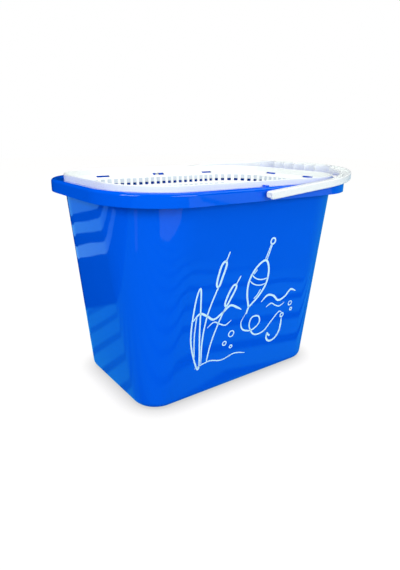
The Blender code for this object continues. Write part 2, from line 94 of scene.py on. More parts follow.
# %% [markdown]
# ## Moulded polypropylene
#
# Buckets like this one are injection moulded in polypropylene, a slightly waxy plastic
# that copies the polish of its steel mould. The eye sees three things on it: one strong
# even colour, gloss that is sharp but never like glass, and reflections that sway a
# little, because a thin wall shrinks unevenly as it cools. Sway comes from a slow noise
# in the bump, 60 mm from one swell to the next, and the faint grain of the mould from a
# noise of 1.2 mm. Real grain is about 0.1 mm, too small to show here, so it is drawn
# coarser. The pigment is mixed in almost evenly, so the colour drifts a little over 180 mm.
# Polypropylene has an index of refraction of 1.49. A greyer white on the tray's niches is
# painted shade, for the shade in the recess and the dark tub showing through the thin wall.


# %% Plastic materials
PLASTIC_IOR = 1.49
SWAY_SIZE = 60 * MM
DRIFT_SIZE = 3 * SWAY_SIZE
GRAIN_SIZE = 1.2 * MM
GRAIN_DEPTH = 0.004 * MM
LIGHT_REACH = 1.5 * MM


def moulded_plastic(name, colour, tint, roughness, sway, subsurface, gloss):
    """Moulded polypropylene: even colour, swaying gloss and a faint mould grain."""
    material = new_material(name)
    place = add_node(material, "ShaderNodeTexCoord").outputs["Object"]
    slow = add_node(material, "ShaderNodeTexNoise", inputs={
        "Vector": place, "Scale": 1 / SWAY_SIZE, "Detail": 1.0, "Roughness": 0.4})
    fine = add_node(material, "ShaderNodeTexNoise", inputs={
        "Vector": place, "Scale": 1 / GRAIN_SIZE, "Detail": 2.0, "Roughness": 0.5})
    drift = add_node(material, "ShaderNodeTexNoise", inputs={
        "Vector": place, "Scale": 1 / DRIFT_SIZE, "Detail": 3.0, "Roughness": 0.55})
    shade = add_node(material, "ShaderNodeMix", {"data_type": "RGBA"}, {
        "Factor": drift, "A": srgb(colour), "B": srgb(tint)})
    gloss_map = add_node(material, "ShaderNodeMapRange", inputs={
        "Value": fine, "From Min": 0.3, "From Max": 0.7,
        "To Min": roughness * 0.85, "To Max": roughness * 1.15})
    swell = add_node(material, "ShaderNodeBump", inputs={
        "Height": slow, "Distance": sway, "Strength": 1.0})
    grain = add_node(material, "ShaderNodeBump", inputs={
        "Height": fine, "Distance": GRAIN_DEPTH, "Strength": 1.0, "Normal": swell})
    shader = add_node(material, "ShaderNodeBsdfPrincipled", inputs={
        "Base Color": shade, "Roughness": gloss_map,
        "IOR": PLASTIC_IOR, "Specular IOR Level": gloss, "Normal": grain,
        "Subsurface Weight": subsurface, "Subsurface Radius": (1.0, 1.0, 1.0),
        "Subsurface Scale": LIGHT_REACH})
    add_node(material, "ShaderNodeOutputMaterial", inputs={"Surface": shader})
    return material


blue_polypropylene = moulded_plastic(
    "blue_polypropylene_gloss_moulded", "#0056E1", "#005AE6", 0.045, 0.45 * MM, 0.0, 0.3)
white_polypropylene = moulded_plastic(
    "white_polypropylene_satin_moulded", "#ECF1EF", "#F0F4F2", 0.28, 0.15 * MM, 0.1, 0.4)
# Painted shade: a greyer copy of the white for the tray's recessed niches.
niche_shade_polypropylene = moulded_plastic(
    "white_polypropylene_painted_niche_shade", "#C6D0DC", "#CCD5E0", 0.28, 0.15 * MM, 0.1, 0.4)
print("plastics:", blue_polypropylene.name, white_polypropylene.name, niche_shade_polypropylene.name)

# %% [markdown]
# ## Screen-printed ink
#
# The white drawing on the front is screen printed: ink is pushed through a mesh and dries
# as a film of some 0.02 mm. It covers the blue almost fully, has little gloss of its own
# and gets slightly uneven where the mesh left less ink. The mesh has about 100 threads to
# the centimetre, too fine to see, so its unevenness is drawn with swells of 1.5 mm.

# %% Ink material
INK_SWELL = 1.5 * MM

screen_ink = new_material("white_screen_ink_matt_printed")
ink_place = add_node(screen_ink, "ShaderNodeTexCoord").outputs["Object"]
ink_cover = add_node(screen_ink, "ShaderNodeTexNoise", inputs={
    "Vector": ink_place, "Scale": 1 / INK_SWELL, "Detail": 2.0, "Roughness": 0.6})
ink_shade = add_node(screen_ink, "ShaderNodeMix", {"data_type": "RGBA"}, {
    "Factor": ink_cover, "A": srgb("#C4F1FF"), "B": srgb("#DCFAFF")})
ink_film = add_node(screen_ink, "ShaderNodeBump", inputs={
    "Height": ink_cover, "Distance": 0.02 * MM, "Strength": 1.0})
ink_shader = add_node(screen_ink, "ShaderNodeBsdfPrincipled", inputs={
    "Base Color": ink_shade, "Roughness": 0.45, "IOR": PLASTIC_IOR,
    "Normal": ink_film})
add_node(screen_ink, "ShaderNodeOutputMaterial", inputs={"Surface": ink_shader})
print("ink:", screen_ink.name)

# %% [markdown]
# ## Oblong rings and lofts
#
# The tub, the tray and the handle's path all follow one outline: an oblong with round
# corners. So the main tool here is a ring of points on such an outline, at an inset and a
# height. A list of rings, joined by faces, is a loft. That is closer to how a mould is
# drawn than a box with rounded edges: every step of the profile is one more ring.


# %% The oblong outline
RIM_LENGTH = 380 * MM
RIM_WIDTH = 274 * MM
RIM_CORNER = 88 * MM
RIM_TOP = 276.5 * MM
HALF_LENGTH = RIM_LENGTH / 2
HALF_WIDTH = RIM_WIDTH / 2
CORNER_STEPS = 28
EDGE_STEPS = 7
QUARTERS = ((1, 1), (-1, 1), (-1, -1), (1, -1))


def outline(length, width, corner):
    """Points round an oblong with round corners, counterclockwise from above."""
    points = []
    for quarter, (side_x, side_y) in enumerate(QUARTERS):
        centre = Vector((side_x * (length / 2 - corner), side_y * (width / 2 - corner)))
        for step in range(CORNER_STEPS + 1):
            angle = math.pi / 2 * (quarter + step / CORNER_STEPS)
            points.append(centre + corner * Vector((math.cos(angle), math.sin(angle))))
    return points


def inset_ring(inset, height):
    """The rim's outline drawn in by an inset, at a height."""
    points = outline(RIM_LENGTH - 2 * inset, RIM_WIDTH - 2 * inset, RIM_CORNER - inset)
    return [(point.x, point.y, height) for point in points]


def arc_steps(turn=math.pi / 2, steps=EDGE_STEPS):
    """Sine and cosine along a turn, from its start to its end."""
    angles = [turn * step / steps for step in range(steps + 1)]
    return [(math.sin(angle), math.cos(angle)) for angle in angles]


print("points round the rim:", len(inset_ring(0, RIM_TOP)))

# %% Pieces and lofts
SHARP_ANGLE = math.radians(38)


def placed(name, content):
    """An object in the scene for a mesh, a lamp or a camera."""
    holder = bpy.data.objects.new(name, content)
    bpy.context.scene.collection.objects.link(holder)
    return holder


def new_piece(name, mesh, material, body, nodes=()):
    """An object shaded smooth that rides on a body and stands for CAD nodes."""
    mesh.shade_smooth()
    mesh.set_sharp_from_angle(angle=SHARP_ANGLE)
    mesh.materials.append(material)
    piece = placed(name, mesh)
    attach(piece, body)
    if nodes:
        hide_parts(*nodes)
    return piece


def add_loft(work, rings, closed_ends=(False, True)):
    """Add a surface through rings of equal length, and give its rows of vertices."""
    rows = [[work.verts.new(point) for point in ring] for ring in rings]
    for row, following in zip(rows, rows[1:]):
        for index in range(len(row)):
            after = (index + 1) % len(row)
            work.faces.new((row[index], row[after], following[after], following[index]))
    if closed_ends[0]:
        work.faces.new(list(reversed(rows[0])))
    if closed_ends[1]:
        work.faces.new(rows[-1])
    return rows


def finished_mesh(name, work, outward=False):
    """Turn the work into a mesh, with its normals made to point outward if asked."""
    if outward:
        bmesh.ops.recalc_face_normals(work, faces=work.faces)
    mesh = bpy.data.meshes.new(name)
    work.to_mesh(mesh)
    work.free()
    return mesh


def loft(name, rings, closed_ends=(False, True), outward=False):
    """A mesh through rings of equal length."""
    work = bmesh.new()
    add_loft(work, rings, closed_ends)
    return finished_mesh(name, work, outward)


print("edges count as sharp above", round(math.degrees(SHARP_ANGLE)), "degrees")

# %% [markdown]
# ## The tub
#
# The tub's visible surface is one loft: up the outside of the turned-down skirt, over the
# rim, down the inside and across the floor. Below the skirt its wall tapers to the base,
# so that buckets nest, and the corners tighten on the way down. The rim's crest falls
# slightly towards the mouth, where a rounded edge carries the tray. Behind the skirt, two
# bosses hold the handle's pins, and each pin's head sits in a shallow recess.

# %% Tub sizes
TUB_WALL = 2.8 * MM
BASE_LENGTH = 294.3 * MM
BASE_WIDTH = 181.9 * MM
BASE_CORNER = 32.8 * MM
BASE_FILLET = 10.2 * MM
SKIRT_DEPTH = 15.3 * MM
SKIRT_BOTTOM = RIM_TOP - SKIRT_DEPTH
RIM_OVERHANG = 13.8 * MM
NECK_CORNER = 85.5 * MM
RIM_CREST_INSET = 8.5 * MM
RIM_FALL = 1.4 * MM
MOUTH_INSET = 16.6 * MM
RIM_OUTER_EDGE = 3.8 * MM
RIM_INNER_EDGE = 3.0 * MM
PIVOT_HEIGHT = RIM_TOP - 6.5 * MM
PIN_RADIUS = 2.5 * MM
HEAD_RADIUS = 3.8 * MM
HEAD_HEIGHT = 1.8 * MM
HEAD_GAP = 0.3 * MM
HEAD_SEAT = HALF_WIDTH - MOUTH_INSET + HEAD_HEIGHT + HEAD_GAP
print("skirt in mm:", round(SKIRT_DEPTH / MM, 1), "pivot height:", round(PIVOT_HEIGHT / MM, 1))


# %% Tub shell
def body_ring(height, inset):
    """The tub's tapering outside at a height, drawn in by an inset."""
    share = height / SKIRT_BOTTOM
    length = BASE_LENGTH + share * (RIM_LENGTH - 2 * RIM_OVERHANG - BASE_LENGTH)
    width = BASE_WIDTH + share * (RIM_WIDTH - 2 * RIM_OVERHANG - BASE_WIDTH)
    corner = BASE_CORNER + share * (NECK_CORNER - BASE_CORNER)
    points = outline(length - 2 * inset, width - 2 * inset, corner - inset)
    return [(point.x, point.y, height) for point in points]


def tub_rings():
    """Rings of the tub's visible surface: skirt, rim, inner wall, then the floor."""
    rings = [inset_ring(0, SKIRT_BOTTOM), inset_ring(0, SKIRT_BOTTOM + 1 * MM)]
    for sine, cosine in arc_steps():
        inset = RIM_OUTER_EDGE * (1 - cosine)
        rings.append(inset_ring(inset, RIM_TOP - RIM_OUTER_EDGE * (1 - sine)))
    rings.append(inset_ring(RIM_CREST_INSET, RIM_TOP))
    for sine, cosine in arc_steps():
        inset = MOUTH_INSET - RIM_INNER_EDGE * (1 - sine)
        rings.append(inset_ring(inset, RIM_TOP - RIM_FALL - RIM_INNER_EDGE * (1 - cosine)))
    rings.append(body_ring(SKIRT_BOTTOM, TUB_WALL))
    inner_fillet = BASE_FILLET - TUB_WALL
    for sine, cosine in arc_steps():
        inset = TUB_WALL + inner_fillet * (1 - cosine)
        rings.append(body_ring(BASE_FILLET - inner_fillet * sine, inset))
    return rings


def modify(piece, kind, **settings):
    """Add a modifier with its settings."""
    step = piece.modifiers.new(kind.lower(), kind)
    for name, value in settings.items():
        setattr(step, name, value)


def thicken(piece, wall):
    """Give a surface its wall on the far side."""
    modify(piece, "SOLIDIFY", thickness=wall, offset=-1, use_even_offset=True)


tub = new_piece("tub_body", loft("tub_body", tub_rings()), blue_polypropylene, "tub",
                ["bucket"])
thicken(tub, TUB_WALL)
print("tub rings:", len(tub_rings()), "faces:", len(tub.data.polygons))

# %% [markdown]
# The bosses are united with the shell by a Boolean, and the bores and recesses are cut out
# of both. Helper objects do that and are then removed, and the lugs that locate the tray
# stay pieces of their own.

# %% Bosses and bores
BOSS_WIDTH = 18 * MM
BOSS_FOOT = SKIRT_BOTTOM + 1 * MM
EMBEDDED_TOP = RIM_TOP - RIM_FALL - TUB_WALL / 4
BORE_REACH = (10 * MM, 5 * MM)
ROD_STEPS = 48


def blocks(name, boxes):
    """A hidden helper made of boxes, each given as its middle, size and turn."""
    work = bmesh.new()
    for middle, size, turn in boxes:
        place = Matrix.Translation(middle) @ Matrix.Rotation(turn, 4, "Z")
        bmesh.ops.create_cube(work, size=1, matrix=place @ Matrix.Diagonal((*size, 1)))
    return finished_mesh(name, work)


def cut_now(piece, helper_meshes, operation="DIFFERENCE"):
    """Apply the piece's modifiers and then cuts or unions with helper meshes."""
    helpers = [placed(mesh.name, mesh) for mesh in helper_meshes]
    for helper in helpers:
        modify(piece, "BOOLEAN", operation=operation, solver="EXACT", object=helper)
    bpy.context.view_layer.update()
    seen = piece.evaluated_get(bpy.context.evaluated_depsgraph_get())
    made = bpy.data.meshes.new_from_object(seen)
    piece.modifiers.clear()
    piece.data = made
    for helper in helpers:
        bpy.data.objects.remove(helper)


def rod(name, radius, start, end, steps=ROD_STEPS):
    """A helper rod on the pivot axis, mirrored to both sides."""
    work = bmesh.new()
    for side in (-1, 1):
        place = Matrix.Translation((0, side * (start + end) / 2, PIVOT_HEIGHT))
        place = place @ Matrix.Rotation(math.pi / 2, 4, "X")
        bmesh.ops.create_cone(work, cap_ends=True, segments=steps, radius1=radius,
                              radius2=radius, depth=end - start, matrix=place)
    return finished_mesh(name, work)


boss_outer = HALF_WIDTH - TUB_WALL / 2
boss_inner = HALF_WIDTH - MOUTH_INSET + TUB_WALL / 2
boss_size = (BOSS_WIDTH, boss_outer - boss_inner, EMBEDDED_TOP - BOSS_FOOT)
boss_middle = ((boss_outer + boss_inner) / 2, (EMBEDDED_TOP + BOSS_FOOT) / 2)
bosses = blocks("pin_bosses", [
    ((0, side * boss_middle[0], boss_middle[1]), boss_size, 0) for side in (-1, 1)])
cut_now(tub, [bosses], "UNION")
bore_start = boss_inner - BORE_REACH[0]
cut_now(tub, [
    rod("pin_bores", PIN_RADIUS + HEAD_GAP, bore_start, HALF_WIDTH + BORE_REACH[1]),
    rod("head_recesses", HEAD_RADIUS + HEAD_GAP, bore_start, HEAD_SEAT)])
tub.data.set_sharp_from_angle(angle=SHARP_ANGLE)
print("tub faces:", len(tub.data.polygons))

# %% Soft edges and lugs
LUG_WIDTH = 4.4 * MM
LUG_TOP = RIM_TOP + 1.1 * MM
TUB_EDGE = 0.6 * MM
LUG_EDGE = 0.5 * MM
TRAY_INSET = 16 * MM


def soften(piece, width, segments=2):
    """Round the sharp edges as a mould does."""
    modify(piece, "BEVEL", width=width, segments=segments, limit_method="ANGLE",
           angle_limit=SHARP_ANGLE, use_clamp_overlap=True)


def even_normals(piece):
    """Weight the normals by face area, which keeps flats flat beside small roundings."""
    modify(piece, "WEIGHTED_NORMAL", keep_sharp=True)


soften(tub, TUB_EDGE, 3)
even_normals(tub)
lug_outer = HALF_WIDTH - RIM_CREST_INSET
lug_inner = HALF_WIDTH - TRAY_INSET + 0.5 * MM
lug_size = (LUG_WIDTH, lug_outer - lug_inner, LUG_TOP - EMBEDDED_TOP)
for side, side_name in ((-1, "front"), (1, "back")):
    middle = (0, side * (lug_outer + lug_inner) / 2, (LUG_TOP + EMBEDDED_TOP) / 2)
    lug = new_piece(f"rim_lug_{side_name}", blocks("rim_lug", [(middle, lug_size, 0)]),
                    blue_polypropylene, "tub")
    soften(lug, LUG_EDGE, 3)
print("lug in mm:", [round(side / MM, 1) for side in lug_size])

# %% [markdown]
# ## The strainer tray
#
# The tray hangs in the mouth by a slanting step. Above the step stands a thin lip, below
# it a ledge, then a wall with two rows of windows, each with a niche above it that slants
# back towards the window. Cutting 180 windows with Booleans would be slow, so the wall is
# drawn as a grid instead: its columns lie where the windows' sides are, and its rows
# where their tops and sills are. A window is then simply a cell that is left out on both
# sides of the wall, with its four edges bridged, and a niche is a cell that is pushed
# back.

# %% Tray sizes
TRAY_WALL = 1.8 * MM
LIP_TOP = RIM_TOP + 5.8 * MM
LIP_ROUNDING = 0.9 * MM
STEP_INSET = TRAY_INSET + TRAY_WALL + 0.2 * MM
STEP_RUN = 1.8 * MM
STEP_TOP = (RIM_TOP - RIM_FALL - RIM_INNER_EDGE
            + math.sqrt(2) * (RIM_INNER_EDGE + HEAD_GAP + TRAY_WALL)
            - (STEP_INSET - MOUTH_INSET + RIM_INNER_EDGE))
BAND_FOOT_INSET = STEP_INSET + STEP_RUN + 3.8 * MM
BAND_FOOT = RIM_TOP - 5.8 * MM
BAND_BEND = ((-1.2 * MM, 0.75 * MM), (0, 0), (0.6 * MM, -0.9 * MM))
LEDGE_START = BAND_FOOT_INSET + 1.5 * MM
LEDGE_HEIGHT = RIM_TOP - 7.3 * MM
LEDGE_EDGE = ((-0.9 * MM, 0), (-0.25 * MM, -0.25 * MM), (0, -0.9 * MM))
WALL_INSET = BAND_FOOT_INSET + 4.4 * MM
WALL_DEPTH = 32.6 * MM
TRAY_DRAFT = 0.09
TRAY_FILLET = 4 * MM
TRAY_FLOOR = LEDGE_HEIGHT - WALL_DEPTH
SLOT_PITCH = 10.4 * MM
CORNER_PITCH = 11.5 * MM
SLOT_WIDTH = 6.3 * MM
SLOT_HEIGHT = 3.8 * MM
FIRST_ROW_DROP = 7.2 * MM
ROW_PITCH = 13.6 * MM
NICHE_HEIGHT = 6.4 * MM
NICHE_DEPTHS = {"niche": 0.5 * MM, "window": 1.5 * MM}
NICHE_EDGE = 0.25 * MM
STRAIGHT_X = HALF_LENGTH - RIM_CORNER
STRAIGHT_Y = HALF_WIDTH - RIM_CORNER
print("tray depth below its lip in mm:", round((LIP_TOP - TRAY_FLOOR) / MM, 1))


# %% Tray columns
def slot_distances(inset):
    """Distances of the windows along a quarter, from mid long side to mid end."""
    bend = (RIM_CORNER - inset) * math.pi / 2
    long_count = int((STRAIGHT_X - SLOT_PITCH / 2) / SLOT_PITCH) + 1
    end_count = int(STRAIGHT_Y / SLOT_PITCH)
    long_side = [SLOT_PITCH * (index + 0.5) for index in range(long_count)]
    quarter = STRAIGHT_X + bend + STRAIGHT_Y
    end_side = [quarter - SLOT_PITCH * index for index in range(end_count, -1, -1)]
    stretch = end_side[0] - long_side[-1]
    steps = max(int(stretch / CORNER_PITCH), 1)
    corner = [long_side[-1] + stretch * index / steps for index in range(1, steps)]
    return long_side + corner + end_side


def station(inset, distance):
    """A column's place that all insets share: where on which stretch of a quarter."""
    bend = (RIM_CORNER - inset) * math.pi / 2
    if distance < STRAIGHT_X:
        return "long", distance
    if distance < STRAIGHT_X + bend:
        return "bend", (distance - STRAIGHT_X) / (RIM_CORNER - inset)
    return "end", STRAIGHT_Y - (distance - STRAIGHT_X - bend)


def station_point(place, inset):
    """A column's point in the first quarter, at an inset."""
    kind, value = place
    if kind == "long":
        return value, HALF_WIDTH - inset
    if kind == "end":
        return HALF_LENGTH - inset, value
    radius = RIM_CORNER - inset
    return (STRAIGHT_X + radius * math.sin(value), STRAIGHT_Y + radius * math.cos(value))


def quarter_columns():
    """Columns of a quarter from mid long side, each with whether a window follows it."""
    inset = WALL_INSET + TRAY_DRAFT * FIRST_ROW_DROP
    quarter = STRAIGHT_X + (RIM_CORNER - inset) * math.pi / 2 + STRAIGHT_Y
    columns = [(0, False)]
    for middle in slot_distances(inset):
        start, end = middle - SLOT_WIDTH / 2, middle + SLOT_WIDTH / 2
        columns.append((columns[-1][0] / 2 + start / 2, False))
        columns.append((start - NICHE_EDGE, False))
        columns.append((start, True))
        columns.append((start / 2 + min(end, quarter) / 2, True))
        if end < quarter:
            columns.append((end, False))
            columns.append((end + NICHE_EDGE, False))
    return [(station(inset, distance), opens) for distance, opens in columns]


tray_columns = quarter_columns()
print("tray columns in a quarter:", len(tray_columns))

# %% [markdown]
# A quarter's columns run from the middle of the long side to the middle of the end. The
# whole turn is that list, its mirror image, and both again, with the middle columns
# shared. A cell is named by its row and column, and it opens where its column says that
# a window follows. In the mirrored quarters the cell lies on the column's other side.


# %% Go round the tray
def full_turn():
    """All columns round the tray: place, side in x, side in y and whether it opens."""
    places, opens = zip(*tray_columns)
    backwards = list(zip([("end", 0), *places[:0:-1]], opens[::-1]))
    return [(place, side_x, side_y, opening)
            for (side_x, side_y), part in zip(QUARTERS, (backwards, tray_columns) * 2)
            for place, opening in part]


turn_columns = full_turn()
print("columns all round:", len(turn_columns))

# %% [markdown]
# The rows follow the tray's inner surface from the lip down to the floor's rounding. Its
# outer surface isn't typed in again: each point of the path moves out by the thickness of
# the wall, between the two directions that meet there. Where the path bends sharply such
# points would overtake each other, so they are held in order.


# %% Tray rows
def wall_inset_at(height):
    """Inset of the tray's slotted wall, which draws in as it goes down."""
    return WALL_INSET + TRAY_DRAFT * (LEDGE_HEIGHT - height)


def tray_rows():
    """Rows of the tray's inner surface as inset, height and kind of cell below."""
    rows = [(TRAY_INSET + TRAY_WALL, LIP_TOP - LIP_ROUNDING, ""),
            (STEP_INSET, STEP_TOP, ""),
            (STEP_INSET + STEP_RUN, STEP_TOP - STEP_RUN, "")]
    rows += [(BAND_FOOT_INSET + inward, BAND_FOOT + up, "") for inward, up in BAND_BEND]
    rows.append((LEDGE_START, LEDGE_HEIGHT, ""))
    rows += [(WALL_INSET + inward, LEDGE_HEIGHT + up, "") for inward, up in LEDGE_EDGE]
    for row in range(2):
        top = LEDGE_HEIGHT - FIRST_ROW_DROP - row * ROW_PITCH
        for height, kind in ((top + NICHE_HEIGHT, ""), (top + NICHE_HEIGHT - NICHE_EDGE, "niche"),
                             (top, "window"), (top - SLOT_HEIGHT, "")):
            rows.append((wall_inset_at(height), height, kind))
    for sine, cosine in arc_steps():
        height = TRAY_FLOOR + TRAY_FILLET * (1 - sine)
        rows.append((wall_inset_at(height) + TRAY_FILLET * (1 - cosine), height, ""))
    return rows


def outer_rows(rows):
    """Inset and height of the tray's outer surface beside each inner row."""
    path = [Vector((inset, height)) for inset, height, _ in rows]
    normals = []
    for start, end in zip(path, path[1:]):
        along = (end - start).normalized()
        normals.append(Vector((along.y, -along.x)))
    offset = []
    for index, point in enumerate(path):
        before = normals[max(index - 1, 0)]
        after = normals[min(index, len(normals) - 1)]
        offset.append(point + (before + after) * TRAY_WALL / (1 + before.dot(after)))
    for index in range(len(offset) - 2, -1, -1):
        offset[index].x = min(offset[index].x, offset[index + 1].x)
    for index in range(1, len(offset)):
        offset[index].y = min(offset[index].y, offset[index - 1].y)
    return offset


print("rows of the inner surface:", len(tray_rows()))

# %% [markdown]
# The inner rows going down, the outer rows going up and the rounded lip make one closed
# loop, and the columns close round the tray, so the grid has no open end. The niches get
# the greyer plastic: painted shade for the recess and for the dark tub behind the thin wall.


# %% Tray wall
def tray_ring(inset, height, depth=0):
    """All columns at an inset and a height, pushed back beside windows by a depth."""
    ring = []
    for index, (place, side_x, side_y, opens) in enumerate(turn_columns):
        beside = opens or turn_columns[index - 1][3]
        x, y = station_point(place, inset - depth if beside else inset)
        ring.append((side_x * x, side_y * y, height))
    return ring


def tray_mesh():
    """The tray's wall: inner and outer surface, rounded lip, and windows left out."""
    rows = tray_rows()
    kinds = [kind for _, _, kind in rows]
    rings = [tray_ring(inset, height, NICHE_DEPTHS.get(kind, 0))
             for inset, height, kind in rows]
    rings += [tray_ring(*place) for place in reversed(outer_rows(rows))]
    for sine, cosine in arc_steps(math.pi, 2 * EDGE_STEPS)[1:-1]:
        rings.append(tray_ring(TRAY_INSET + TRAY_WALL / 2 * (1 - cosine),
                               LIP_TOP - LIP_ROUNDING * (1 - sine)))
    work = bmesh.new()
    grid = [[work.verts.new(point) for point in ring] for ring in rings]
    count, last = len(turn_columns), 2 * len(rows) - 1
    windows = {(row, column) for row, kind in enumerate(kinds) if kind == "window"
               for column in range(count) if turn_columns[column][3]}
    left_out = windows | {(last - 1 - row, column) for row, column in windows}
    for row in range(len(grid)):
        below = (row + 1) % len(grid)
        for column in range(count):
            after = (column + 1) % count
            if (row, column) not in left_out:
                face = work.faces.new((grid[row][column], grid[row][after],
                                       grid[below][after], grid[below][column]))
                # Niche faces take the greyer white, which is painted shade for the recess.
                in_niche = row < len(kinds) and kinds[row] == "niche"
                face.material_index = int(in_niche and turn_columns[column][3])
    for row, column in windows:
        after = (column + 1) % count
        edges = {(row - 1, column): ((row, column), (row, after)),
                 (row + 1, column): ((row + 1, column), (row + 1, after)),
                 (row, column - 1): ((row, column), (row + 1, column)),
                 (row, after): ((row, after), (row + 1, after))}
        for beside, ((row_a, column_a), (row_b, column_b)) in edges.items():
            if (beside[0], beside[1] % count) not in windows:
                work.faces.new((grid[row_a][column_a], grid[row_b][column_b],
                                grid[last - row_b][column_b], grid[last - row_a][column_a]))
    bmesh.ops.remove_doubles(work, verts=work.verts, dist=0.01 * MM)
    return finished_mesh("tray_wall", work, outward=True)


tray = new_piece("tray_shell", tray_mesh(), white_polypropylene, "tray",
                 ["strainer_tray"])
# The second material is the greyer white of painted shade in the niches.
tray.data.materials.append(niche_shade_polypropylene)
print("tray wall faces:", len(tray.data.polygons))

# %% [markdown]
# The sloping band has ten long windows: one in the middle of each long side, where a pin's
# head shows, and two more on each of the four sides. Ten are few enough for a Boolean. A
# moulded edge is never quite sharp, and the light that runs along it is part of how
# plastic looks, so a narrow bevel rounds them all.

# %% Long windows and soft edges
WINDOW_LENGTH = 21 * MM
WINDOW_SPREAD = 95 * MM
END_WINDOW_SPREAD = 39.4 * MM
BAND_WINDOW_HEIGHT = 2.3 * MM
BAND_WINDOW_TOP = RIM_TOP - 3.3 * MM
END_WINDOW_TOP = RIM_TOP - 2.0 * MM
PIN_WINDOW_HEIGHT = 2.9 * MM
PIN_WINDOW_TOP = RIM_TOP - 2.7 * MM
WINDOW_EDGE = 0.14 * MM
band_inset = (TRAY_INSET + BAND_FOOT_INSET) / 2
band_boxes = []
for top, height, x, y, turn in (
        (PIN_WINDOW_TOP, PIN_WINDOW_HEIGHT, 0, HALF_WIDTH - band_inset, math.pi / 2),
        (BAND_WINDOW_TOP, BAND_WINDOW_HEIGHT, WINDOW_SPREAD, HALF_WIDTH - band_inset,
         math.pi / 2),
        (END_WINDOW_TOP, BAND_WINDOW_HEIGHT, HALF_LENGTH - band_inset, END_WINDOW_SPREAD, 0)):
    size = (6 * TRAY_WALL, WINDOW_LENGTH, height)
    for side_x, side_y in QUARTERS:
        if x == 0 and side_x < 0:
            continue
        band_boxes.append(((side_x * x, side_y * y, top - height / 2), size, turn))
cut_now(tray, [blocks("band_windows", band_boxes)])
tray.data.set_sharp_from_angle(angle=SHARP_ANGLE)
soften(tray, WINDOW_EDGE)
even_normals(tray)
print("long windows:", len(band_boxes), "tray faces:", len(tray.data.polygons))

# %% [markdown]
# The floor of the tray is hidden from where the camera stands. Such trays let water run
# off, so a flat floor with rows of drain slots is built. A slot whose outer corner would
# pass the floor's rounded outline is left out.

# %% Tray floor
FLOOR_SLOT = (18 * MM, 5 * MM)
FLOOR_PITCH = (28 * MM, 24 * MM)
FLOOR_MARGIN = 12 * MM
DRAIN_EDGE = 0.3 * MM
floor_inset = wall_inset_at(TRAY_FLOOR) + TRAY_FILLET
tray_floor = new_piece(
    "tray_floor", loft("tray_floor", [inset_ring(floor_inset - 0.5 * MM, TRAY_FLOOR)]),
    white_polypropylene, "tray")
thicken(tray_floor, TRAY_WALL)
drain_boxes = []
margin = floor_inset + FLOOR_MARGIN
corner_radius = max(RIM_CORNER - margin, 0)
x = FLOOR_PITCH[0] / 2
while x + FLOOR_SLOT[0] / 2 < HALF_LENGTH - margin:
    y = FLOOR_PITCH[1] / 2
    while y + FLOOR_SLOT[1] / 2 < HALF_WIDTH - margin:
        past_x = max(x + FLOOR_SLOT[0] / 2 - HALF_LENGTH + margin + corner_radius, 0)
        past_y = max(y + FLOOR_SLOT[1] / 2 - HALF_WIDTH + margin + corner_radius, 0)
        if math.hypot(past_x, past_y) <= corner_radius:
            for side_x, side_y in QUARTERS:
                drain_boxes.append(((side_x * x, side_y * y, TRAY_FLOOR),
                                    (*FLOOR_SLOT, 6 * TRAY_WALL), 0))
        y += FLOOR_PITCH[1]
    x += FLOOR_PITCH[0]
cut_now(tray_floor, [blocks("drain_slots", drain_boxes)])
soften(tray_floor, DRAIN_EDGE)
print("drain slots:", len(drain_boxes))

# %% [markdown]
# ## The carrying handle
#
# The handle is one moulded bar, bent like a wide bow. Its cross-section changes all the
# way: slim arms, wide shoulders with a channel in the top, and a bar with five ridges
# between finger grips on its inner edge. A Bevel on a curve keeps one section, so the
# handle is a loft instead: at each step along the bow, a section is drawn between a
# point on the outer edge and one on the inner edge, with its corners rounded.

# %% Handle sizes
ARM_GAP = 3.6 * MM
ARM_WIDTH = 9.0 * MM
ARM_HEIGHT = 8.1 * MM
ARM_TAIL = 13.0 * MM
ARM_SKIRT = 1.1 * MM
BAR_OVERHANG = 23.0 * MM
BAR_HEIGHT = 11.6 * MM
BAR_START = 16 * MM
SHOULDER_RADIUS = 122 * MM
CROWN_RADIUS = 235 * MM
SHOULDER_GROWTH = 14 * MM
SHOULDER_TURN = math.radians(63)
GROWTH_TURN = math.radians(76)
BAR_RISE = 1.2 * MM
GRIP_PITCH = 21.4 * MM
GRIP_DEPTH = 6.7 * MM
END_GRIP = (30.8 * MM, 10.5 * MM)
GRIP_FULLNESS = 0.6
GRIP_EDGE = 0.6 * MM
CHANNEL_LIP = 3.3 * MM
CHANNEL_DEPTH = 3.5 * MM
CHANNEL_START = 100 * MM
CHANNEL_RUN_IN = 20 * MM
HANDLE_HALF_WIDTH = HALF_WIDTH + ARM_GAP + ARM_WIDTH
HANDLE_REACH = HALF_LENGTH + BAR_OVERHANG
BAR_INNER = HALF_LENGTH - TRAY_INSET + 8.5 * MM
SHOULDER_Y = HANDLE_HALF_WIDTH - SHOULDER_RADIUS
CROWN_X = HANDLE_REACH - CROWN_RADIUS
SHOULDER_X = CROWN_X + math.sqrt((CROWN_RADIUS - SHOULDER_RADIUS) ** 2 - SHOULDER_Y ** 2)
HANDLE_TILT = 4.811
TAIL_END = 0.55
TAIL_ROUND = ARM_HEIGHT / 2 - 1.2 * MM
TAIL_STEPS = 8
ARM_STEPS = 6
SHOULDER_STEPS = 48
GRIP_STEPS = 18
print("handle in mm: reach", round(HANDLE_REACH / MM, 1), "half width",
      round(HANDLE_HALF_WIDTH / MM, 1))


# %% Handle edges
def outer_edge_x(y):
    """How far out the handle's outer edge lies, at a distance from its middle line."""
    meeting_y = CROWN_RADIUS * SHOULDER_Y / (CROWN_RADIUS - SHOULDER_RADIUS)
    if y < meeting_y:
        return CROWN_X + math.sqrt(CROWN_RADIUS ** 2 - y ** 2)
    return SHOULDER_X + math.sqrt(SHOULDER_RADIUS ** 2 - (y - SHOULDER_Y) ** 2)


